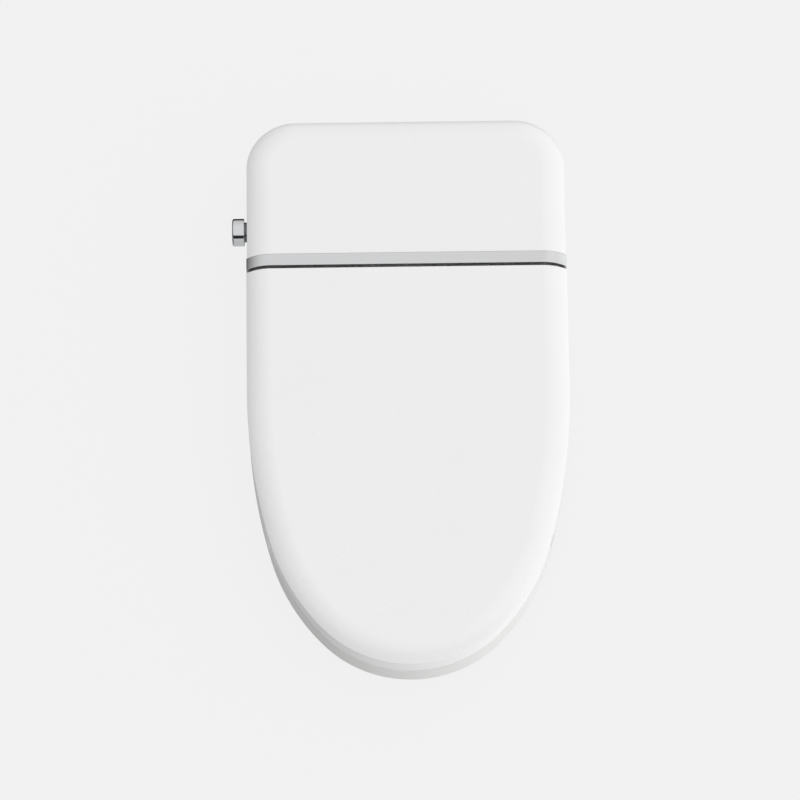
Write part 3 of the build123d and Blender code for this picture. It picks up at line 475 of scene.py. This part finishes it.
inlet_x = (inlet_low[0] + inlet_high[0]) / 2
inlet_z = (inlet_low[2] + inlet_high[2]) / 2
inlet_r = (inlet_high[0] - inlet_low[0]) / 2
root_r = inlet_r - thread_depth
wall_y = inlet_low[1] + inlet_shank
crest_r = thread_depth / 2
thread_length = inlet_high[1] - wall_y - flange - 2 * thread_depth
thread_start = (inlet_x, wall_y + flange + crest_r, inlet_z)
thread_values = {
    "Root Radius": inlet_r - crest_r,
    "Length": thread_length,
    "Pitch": thread_pitch,
    "Crest": crest_r,
}
thread_mesh = grown_mesh("inlet_thread", group, [thread_start], thread_values)


def lathe_y(name, profile, center_x, center_z, steps, material):
    """A closed profile of (radius, y) points turned about a line along Y."""
    shape = bmesh.new()
    rings = []
    for step in range(steps):
        turn = math.tau * step / steps
        ring = []
        for radius, y in profile:
            place = (center_x + radius * math.cos(turn), y, center_z + radius * math.sin(turn))
            ring.append(shape.verts.new(place))
        rings.append(ring)
    count = len(profile)
    for step in range(steps):
        near = rings[step]
        far = rings[(step + 1) % steps]
        for index in range(count):
            after = (index + 1) % count
            shape.faces.new((near[index], near[after], far[after], far[index]))
    bmesh.ops.recalc_face_normals(shape, faces=shape.faces)
    mesh = bpy.data.meshes.new(name)
    shape.to_mesh(mesh)
    shape.free()
    mesh.materials.append(material)
    return mesh


nipple_profile = [
    (inlet_bore_r, inlet_low[1]),
    (shank_r, inlet_low[1]),
    (shank_r, wall_y),
    (inlet_r, wall_y),
    (inlet_r, wall_y + flange - crest_r),
    (inlet_r - crest_r, wall_y + flange),
    (root_r, wall_y + flange),
    (root_r, inlet_high[1] - thread_depth),
    (root_r - thread_depth, inlet_high[1]),
    (inlet_bore_r + crest_r, inlet_high[1]),
    (inlet_bore_r, inlet_high[1] - crest_r),
]
nipple_mesh = lathe_y(
    "inlet_nipple", nipple_profile, inlet_x, inlet_z, nipple_steps, nickel_brass
)
new_piece("inlet_nipple", nipple_mesh, "housing", "inlet_brass", "water_inlet")
new_piece("inlet_thread", thread_mesh, "housing", "inlet_brass")

# ---- Water parts inside the casing ----
# Filter, valve block, pump, instant heater and nozzle selector. They are moulded in glass-filled
# nylon and joined by a soft silicone tube.
glass_nylon = moulded("glass_filled_nylon", "#3B3D40", "#46484B", 0.55, 0.5 * MM, 0.03 * MM)
heater_nylon = moulded("heater_nylon", "#5A5148", "#4C443C", 0.5, 0.5 * MM, 0.03 * MM)
silicone = moulded("clear_silicone", "#D9DCDD", "#CFD3D4", 0.3, 2 * MM, 0.01 * MM)
zinc_plate = brushed("zinc_plated_steel", "#B9BBBE", "#9EA1A6", 0.35, 0.7 * MM, 1, 0.01 * MM, 0.0)
dress(glass_nylon, "valve_block", "flow_selector", "nozzle_holder")
dress(heater_nylon, "water_heater")
dress(silicone, "water_tube")
dress(zinc_plate, "water_pump", "rear_nozzle_motor", "front_nozzle_motor", "fan_motor")
dress(rolled_steel, "inlet_filter")

# ---- Nozzles ----
# Two drawn stainless tubes with resin tips. Each is pushed by a moulded rack, which meshes with a
# pinion on its motor. The tips have a group of small jets on top.
tube_steel = brushed("drawn_stainless", "#D6D7D9", "#C4C6C9", 0.16, 0.3 * MM, 1, 0.005 * MM, 0.5)
tip_resin = moulded("gloss_resin", "#E6EAEC", "#DDE2E5", 0.18, 1.5 * MM, 0.005 * MM, 0.03)
acetal = moulded("natural_acetal", "#E7E4DA", "#DEDACE", 0.4, 0.8 * MM, 0.01 * MM)
# The jets are dark discs sunk into the white tip, not holes: their dark grey is painted shade,
# standing for the shade inside each bored jet.
jet_shadow = moulded("jet_bore_painted_shade", "#33373A", "#2B2E31", 0.6, 0.4 * MM, 0.01 * MM)
jet_r = 0.5 * MM
jet_ring_r = 2.4 * MM
jet_count = 6
jet_steps = 16
jets_from_end = 8.6 * MM
jet_fall_run = 8 * MM
jet_depth_share = 0.3
jet_sink_share = 0.2
nozzle_fall = math.radians(6)

group, given, result = start_group(
    "jet_ring",
    {
        "Count": "NodeSocketInt",
        "Ring Radius": "NodeSocketFloat",
        "Jet Radius": "NodeSocketFloat",
        "Depth": "NodeSocketFloat",
    },
)
jet_circle = add_node(
    group,
    "GeometryNodeMeshCircle",
    {"Vertices": given["Count"], "Radius": given["Ring Radius"]},
)
jet_disc = add_node(
    group,
    "GeometryNodeMeshCylinder",
    {"Radius": given["Jet Radius"], "Depth": given["Depth"], "Vertices": jet_steps},
)
jet_set = add_node(
    group,
    "GeometryNodeInstanceOnPoints",
    {"Points": jet_circle.outputs[0], "Instance": jet_disc.outputs["Mesh"]},
)
jet_places = add_node(
    group,
    "GeometryNodeInstanceOnPoints",
    {
        "Points": given["Geometry"],
        "Instance": jet_set.outputs["Instances"],
        "Rotation": (nozzle_fall, 0, 0),
    },
)
close_group(group, result, jet_places.outputs["Instances"], jet_shadow)

for name in ("rear", "front"):
    tip_low, tip_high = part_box(f"{name}_nozzle_tip")
    nozzle_r = (tip_high[0] - tip_low[0]) / 2
    tip_x = (tip_low[0] + tip_high[0]) / 2
    tip_y = tip_low[1] + jets_from_end
    tip_top = tip_high[2] - jet_fall_run * math.tan(nozzle_fall)
    jet_values = {
        "Count": jet_count,
        "Ring Radius": jet_ring_r,
        "Jet Radius": jet_r,
        "Depth": nozzle_r * jet_depth_share,
    }
    jet_place = (tip_x, tip_y, tip_top - nozzle_r * jet_sink_share)
    jet_mesh = grown_mesh(f"{name}_nozzle_jets", group, [jet_place], jet_values)
    new_piece(f"{name}_nozzle_jets", jet_mesh, f"{name}_nozzle_body", "nozzle_resin")
    dress(tube_steel, f"{name}_nozzle")
    dress(tip_resin, f"{name}_nozzle_tip")
    dress(acetal, f"{name}_nozzle_rack", f"{name}_pinion")

# ---- Dryer and electrics ----
# A blower with its duct, and two boards on standoffs. The boards are glass laminate with a green
# solder mask over copper tracks; the filter is a cartridge of black charcoal foam.
dark_abs = moulded("dark_grey_abs", "#4A4D51", "#414448", 0.5, 0.6 * MM, 0.02 * MM)
charcoal = moulded("charcoal_foam", "#1A1B1C", "#2C2D2E", 0.95, 1.6 * MM, 0.5 * MM, 0.02)
part_black = moulded("epoxy_moulding", "#202123", "#2A2B2D", 0.4, 0.5 * MM, 0.01 * MM)
track_pitch = 3 * MM
track_edge = 0.55

# Solder mask: a green lacquer, lighter where it lies over copper tracks
laminate, tree, shader, coords = start_material("green_laminate", {"Roughness": 0.3})
tracks = add_node(
    tree,
    "ShaderNodeTexVoronoi",
    {"Vector": coords, "Scale": 1 / track_pitch},
    distance="MANHATTAN",
)
track_edges = add_node(
    tree,
    "ShaderNodeMath",
    {0: tracks.outputs["Distance"], 1: track_edge},
    operation="GREATER_THAN",
)
mask_tone = add_node(
    tree,
    "ShaderNodeMix",
    {0: track_edges.outputs[0], 6: colour("#1F5A38"), 7: colour("#2F7A4C")},
    data_type="RGBA",
)
tree.links.new(mask_tone.outputs[2], shader.inputs["Base Color"])

dress(dark_abs, "fan_housing", "fan_rotor", "dryer_duct", "knob_encoder", "encoder_bracket")
dress(dark_abs, "board_standoffs")
dress(laminate, "power_board", "control_board")
dress(part_black, "power_components", "control_chips")
dress(charcoal, "deodoriser_filter")

# ---- Cable gland ----
# A nylon clamp with a hexagonal nut, where the mains cable would enter.
gland_edge = 0.6 * MM
gland_nylon = moulded("grey_nylon", "#6E7174", "#65686B", 0.45, 0.6 * MM, 0.02 * MM)
softened("cable_gland", gland_edge, gland_nylon, "housing", "gland_nylon")

# ---- Deck, nozzle shroud and dryer flap ----
# What is seen when the seat is up: white mouldings, wiped clean often, so a little glossier than
# the casing. The flap hangs on a steel pin.
deck_edge = 0.5 * MM
shroud_edge = 0.8 * MM
deck_abs = moulded("wiped_abs", "#F0F0EF", "#EBEBEA", 0.3, 1.2 * MM, 0.01 * MM)
softened("deck_cover", deck_edge, deck_abs, "housing", "casing_abs")
softened("nozzle_shroud", shroud_edge, deck_abs, "housing", "casing_abs")
dress(deck_abs, "dryer_flap")
dress(tube_steel, "flap_pin")

# ---- Hinge ----
# Two posts on the deck with turned stainless pins, and two rotary dampers that let the seat and
# the lid down slowly. The dampers are black acetal.
post_edge = 0.8 * MM
turned_steel = brushed("turned_stainless", "#BFC0C2", "#A9ABAE", 0.22, 0.25 * MM, 1, 0.01 * MM, 0.3)
black_acetal = moulded("black_acetal", "#27282A", "#303133", 0.38, 0.8 * MM, 0.01 * MM)
for side in ("left", "right"):
    softened(f"hinge_tower_{side}", post_edge, casing_abs, "housing", "casing_abs")
    dress(turned_steel, f"hinge_pin_{side}")
dress(black_acetal, "seat_damper", "lid_damper")

# ---- Seat ----
# A hollow ring in polypropylene, welded to its base plate, with a heating foil under its skin.
# Polypropylene is a little waxier than ABS: softer gloss and a trace of light inside.
seat_edge = 0.5 * MM
bumper_edge = 1.6 * MM
light_reach = 2 * MM
light_share = 0.08
seat_resin = moulded("polypropylene", "#E6E6E5", "#E1E1E0", 0.3, 7 * MM, 0.02 * MM)
resin_shader = seat_resin.node_tree.nodes["Principled BSDF"]
resin_shader.inputs["Subsurface Weight"].default_value = light_share
resin_shader.inputs["Subsurface Radius"].default_value = (light_reach,) * 3
softened("seat_shell", seat_edge, seat_resin, "seat", "seat_resin")
softened("seat_base", seat_edge, seat_resin, "seat", "seat_resin")
foil = brushed("aluminium_foil", "#D2D3D4", "#BFC1C3", 0.3, 0.8 * MM, 0, 0.02 * MM, 0.2)
dress(foil, "seat_heater")

# Bumpers: pale silicone, moulded with a soft edge so that they seal to the rim
pale_silicone = moulded("pale_silicone", "#C9CACA", "#C0C2C2", 0.6, 1.0 * MM, 0.01 * MM)
softened("seat_bumpers", bumper_edge, pale_silicone, "seat", "buffer_rubber")

# ---- Rear cover and its screws ----
# The crowned shell behind the lid, moulded in ABS against a polished tool. Its surface has a
# very slight waviness from cooling. Four pan-head screws hold it from below.
cover_edge = 0.5 * MM
sink_length = 45 * MM
cover_abs = moulded("gloss_abs", "#F4F4F4", "#F2F2F2", 0.27, sink_length, 0.06 * MM, 0.03)
softened("rear_cover", cover_edge, cover_abs, "housing", "cover_abs")

screw_low, screw_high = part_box("cover_screws")
head_r = 4 * MM
head_height = 1.8 * MM
shank_radius = 2 * MM
rear_pair_inset = 10 * MM
recess_width = 1.1 * MM
recess_depth = 1.2 * MM
recess_length_share = 1.2
head_steps = 40
shank_steps = 24

group, given, result = start_group(
    "pan_head_screw",
    {
        "Head Radius": "NodeSocketFloat",
        "Head Height": "NodeSocketFloat",
        "Shank Radius": "NodeSocketFloat",
        "Length": "NodeSocketFloat",
        "Recess Width": "NodeSocketFloat",
        "Recess Depth": "NodeSocketFloat",
    },
)
half_head = add_node(
    group, "ShaderNodeMath", {0: given["Head Height"], 1: 0.5}, operation="MULTIPLY"
)
head_place = add_node(group, "ShaderNodeCombineXYZ", {"Z": half_head.outputs[0]})
head = add_node(
    group,
    "GeometryNodeMeshCylinder",
    {"Radius": given["Head Radius"], "Depth": given["Head Height"], "Vertices": head_steps},
)
head_raised = add_node(
    group,
    "GeometryNodeTransform",
    {"Geometry": head.outputs["Mesh"], "Translation": head_place.outputs[0]},
)
recess_long = add_node(
    group,
    "ShaderNodeMath",
    {0: given["Head Radius"], 1: recess_length_share},
    operation="MULTIPLY",
)
recess_tall = add_node(
    group, "ShaderNodeMath", {0: given["Recess Depth"], 1: 2.0}, operation="MULTIPLY"
)
cross_bars = []
for bar_sizes in (
    {"X": recess_long.outputs[0], "Y": given["Recess Width"], "Z": recess_tall.outputs[0]},
    {"X": given["Recess Width"], "Y": recess_long.outputs[0], "Z": recess_tall.outputs[0]},
):
    bar_size = add_node(group, "ShaderNodeCombineXYZ", bar_sizes)
    cross_bars.append(add_node(group, "GeometryNodeMeshCube", {"Size": bar_size.outputs[0]}))
cut_once = add_node(group, "GeometryNodeMeshBoolean", operation="DIFFERENCE")
group.links.new(head_raised.outputs[0], cut_once.inputs["Mesh 1"])
group.links.new(cross_bars[0].outputs["Mesh"], cut_once.inputs["Mesh 2"])
cut_twice = add_node(group, "GeometryNodeMeshBoolean", operation="DIFFERENCE")
group.links.new(cut_once.outputs["Mesh"], cut_twice.inputs["Mesh 1"])
group.links.new(cross_bars[1].outputs["Mesh"], cut_twice.inputs["Mesh 2"])
shank = add_node(
    group,
    "GeometryNodeMeshCylinder",
    {"Radius": given["Shank Radius"], "Depth": given["Length"], "Vertices": shank_steps},
)
half_length = add_node(
    group, "ShaderNodeMath", {0: given["Length"], 1: 0.5}, operation="MULTIPLY"
)
shank_rise = add_node(
    group,
    "ShaderNodeMath",
    {0: half_length.outputs[0], 1: given["Head Height"]},
    operation="ADD",
)
shank_place = add_node(group, "ShaderNodeCombineXYZ", {"Z": shank_rise.outputs[0]})
shank_raised = add_node(
    group,
    "GeometryNodeTransform",
    {"Geometry": shank.outputs["Mesh"], "Translation": shank_place.outputs[0]},
)
screw_shape = add_node(group, "GeometryNodeJoinGeometry")
for part in (cut_twice, shank_raised):
    group.links.new(part.outputs[0], screw_shape.inputs[0])
screw_set = add_node(
    group,
    "GeometryNodeInstanceOnPoints",
    {"Points": given["Geometry"], "Instance": screw_shape.outputs[0]},
)
close_group(group, result, screw_set.outputs["Instances"], zinc_plate)

front_x = screw_high[0] - head_r
rear_x = front_x - rear_pair_inset
screw_points = []
for side in (-1, 1):
    screw_points.append((side * front_x, screw_low[1] + head_r, screw_low[2]))
    screw_points.append((side * rear_x, screw_high[1] - head_r, screw_low[2]))
screw_values = {
    "Head Radius": head_r,
    "Head Height": head_height,
    "Shank Radius": shank_radius,
    "Length": screw_high[2] - screw_low[2] - head_height,
    "Recess Width": recess_width,
    "Recess Depth": recess_depth,
}
screw_mesh = grown_mesh("pan_head_screws", group, screw_points, screw_values)
new_piece("pan_head_screws", screw_mesh, "housing", "hinge_steel", "cover_screws")

# ---- Trim strip ----
# A bent aluminium extrusion in the cover's front rebate, brushed along its length and clear
# anodised. Its edges are broken, so they catch a thin line of light.
strip_edge = 0.7 * MM
brush_line = 0.35 * MM
anodised = brushed("anodised_aluminium", "#D8D8D9", "#CACBCC", 0.3, brush_line, 0, 0.006 * MM, 0.6)
softened("trim_strip", strip_edge, anodised, "housing", "trim_metal")

# ---- Knob ----
# A solid brass turning with bright chrome plate, on a darker turned neck that slides in a bezel.
# Plate this bright shows the room as sharp bands.
wipe_length = 12 * MM
chrome, tree, shader, coords = start_material(
    "chrome_plate", {"Base Color": colour("#D2D3D5"), "Metallic": 1.0, "Roughness": 0.05}
)
wipes = add_node(
    tree, "ShaderNodeTexNoise", {"Vector": coords, "Scale": 1 / wipe_length, "Detail": 3.0}
)
wipe_gloss = add_node(
    tree, "ShaderNodeMapRange", {"Value": wipes.outputs[0], "To Min": 0.03, "To Max": 0.09}
)
tree.links.new(wipe_gloss.outputs[0], shader.inputs["Roughness"])
dark_steel = brushed("dark_turned_steel", "#6E6F72", "#5C5D60", 0.25, 0.3 * MM, 1, 0.01 * MM, 0.3)
dress(chrome, "knob_cap", "knob_bezel")
dress(dark_steel, "knob_neck")
dress(turned_steel, "knob_shaft")

# ---- Lid ----
# One thin crowned moulding in the same gloss ABS as the cover. Soft white buffers under its rim
# keep it off the seat.
softened("lid", cover_edge, cover_abs, "lid", "cover_abs")
white_silicone = moulded("white_silicone", "#E8E8E8", "#E2E2E2", 0.5, 1.0 * MM, 0.01 * MM)
dress(white_silicone, "lid_buffers")

# ---- Studio ----
# A plain pale floor with almost no shadow, a soft surround that is bright on the right and dim on
# the left, and one large soft lamp from the back right. Two black flags give the chrome its bands.
floor_half = 20.0
floor_z = -0.1 * MM
floor_glow = 0.81
surround_left = 0.03
surround_right = 1.42
surround_top = 0.99
ceiling_from = -0.2
ceiling_to = 0.9
lamp_place = (1.6, 1.2, 2.4)
lamp_size = 1.5
lamp_power = 1.0
lamp_target = Vector((0, -0.15, 0.05))
camera_place = Vector((-0.035, -2.594, 6.0))
camera_target = Vector((-0.0098, -0.1587, 0.05))
camera_roll = 0.003
camera_lens = 244.6
camera_reach = 50

floor_corners = [(-floor_half, -floor_half), (floor_half, -floor_half)]
floor_corners += [(floor_half, floor_half), (-floor_half, floor_half)]
floor_mesh = bpy.data.meshes.new("floor")
floor_mesh.from_pydata([(x, y, floor_z) for x, y in floor_corners], [], [(0, 1, 2, 3)])
floor = bpy.data.objects.new("floor", floor_mesh)
bpy.context.collection.objects.link(floor)
floor.visible_diffuse = False
floor.visible_glossy = False
paper = start_material(
    "pale_paper",
    {
        "Base Color": colour("#505050"),
        "Roughness": 1.0,
        "Specular IOR Level": 0.0,
        "Emission Color": colour("#FFFFFF"),
        "Emission Strength": floor_glow,
    },
)[0]
floor_mesh.materials.append(paper)

# Two felt flags, long from side to side, on an arc about the knob. Each one's two angles are
# measured in degrees from the rear, upwards. Only a mirrored ray meets them.
flag_distance = 2.0
flag_half_length = 3.0
flag_spans = {"front_flag": (137, 165), "rear_flag": (-50, -8)}
flag_felt = start_material(
    "black_felt", {"Base Color": colour("#3C3C3C"), "Roughness": 1.0, "Specular IOR Level": 0.0}
)[0]
knob_low, knob_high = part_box("knob_cap")
knob_middle = (Vector(knob_low) + Vector(knob_high)) / 2
for flag_name, (low_angle, high_angle) in flag_spans.items():
    flag_corners = []
    for angle, side in ((low_angle, -1), (low_angle, 1), (high_angle, 1), (high_angle, -1)):
        turn = math.radians(angle)
        reach = Vector((0, math.cos(turn), math.sin(turn))) * flag_distance
        flag_corners.append(knob_middle + reach + Vector((side * flag_half_length, 0, 0)))
    flag_mesh = bpy.data.meshes.new(flag_name)
    flag_mesh.from_pydata([tuple(corner) for corner in flag_corners], [], [(0, 1, 2, 3)])
    flag_mesh.materials.append(flag_felt)
    flag = bpy.data.objects.new(flag_name, flag_mesh)
    bpy.context.collection.objects.link(flag)
    flag.visible_camera = False
    flag.visible_diffuse = False
    flag.visible_shadow = False
    flag.visible_transmission = False

world = bpy.data.worlds.new("soft_surround")
bpy.context.scene.world = world
world.use_nodes = True
tree = world.node_tree
tree.nodes.clear()
direction = add_node(tree, "ShaderNodeTexCoord").outputs["Generated"]
parts = add_node(tree, "ShaderNodeSeparateXYZ", {"Vector": direction}).outputs
wall_level = add_node(
    tree,
    "ShaderNodeMapRange",
    {
        "Value": parts["X"],
        "From Min": -1.0,
        "From Max": 1.0,
        "To Min": surround_left,
        "To Max": surround_right,
    },
)
ceiling_share = add_node(
    tree,
    "ShaderNodeMapRange",
    {"Value": parts["Z"], "From Min": ceiling_from, "From Max": ceiling_to},
)
level = add_node(
    tree,
    "ShaderNodeMix",
    {0: ceiling_share.outputs[0], 2: wall_level.outputs[0], 3: surround_top},
    data_type="FLOAT",
)
glow = add_node(
    tree,
    "ShaderNodeBackground",
    {"Color": colour("#FFFFFF"), "Strength": level.outputs[0]},
)
add_node(tree, "ShaderNodeOutputWorld", {"Surface": glow.outputs[0]})

lamp_data = bpy.data.lights.new("soft_lamp", "AREA")
lamp_data.size = lamp_size
lamp_data.energy = lamp_power
lamp = bpy.data.objects.new("soft_lamp", lamp_data)
bpy.context.collection.objects.link(lamp)
lamp.location = lamp_place
lamp.rotation_euler = (lamp_target - Vector(lamp_place)).to_track_quat("-Z", "Y").to_euler()

camera_data = bpy.data.cameras.new("camera")
camera_data.lens = camera_lens
camera_data.clip_end = camera_reach
camera = bpy.data.objects.new("camera", camera_data)
bpy.context.collection.objects.link(camera)
camera.location = camera_place
sight = (camera_target - camera_place).normalized()
camera.rotation_mode = "QUATERNION"
camera.rotation_quaternion = Quaternion(sight, camera_roll) @ sight.to_track_quat("-Z", "Y")
bpy.context.scene.camera = camera
bpy.context.scene.view_settings.view_transform = "Standard"
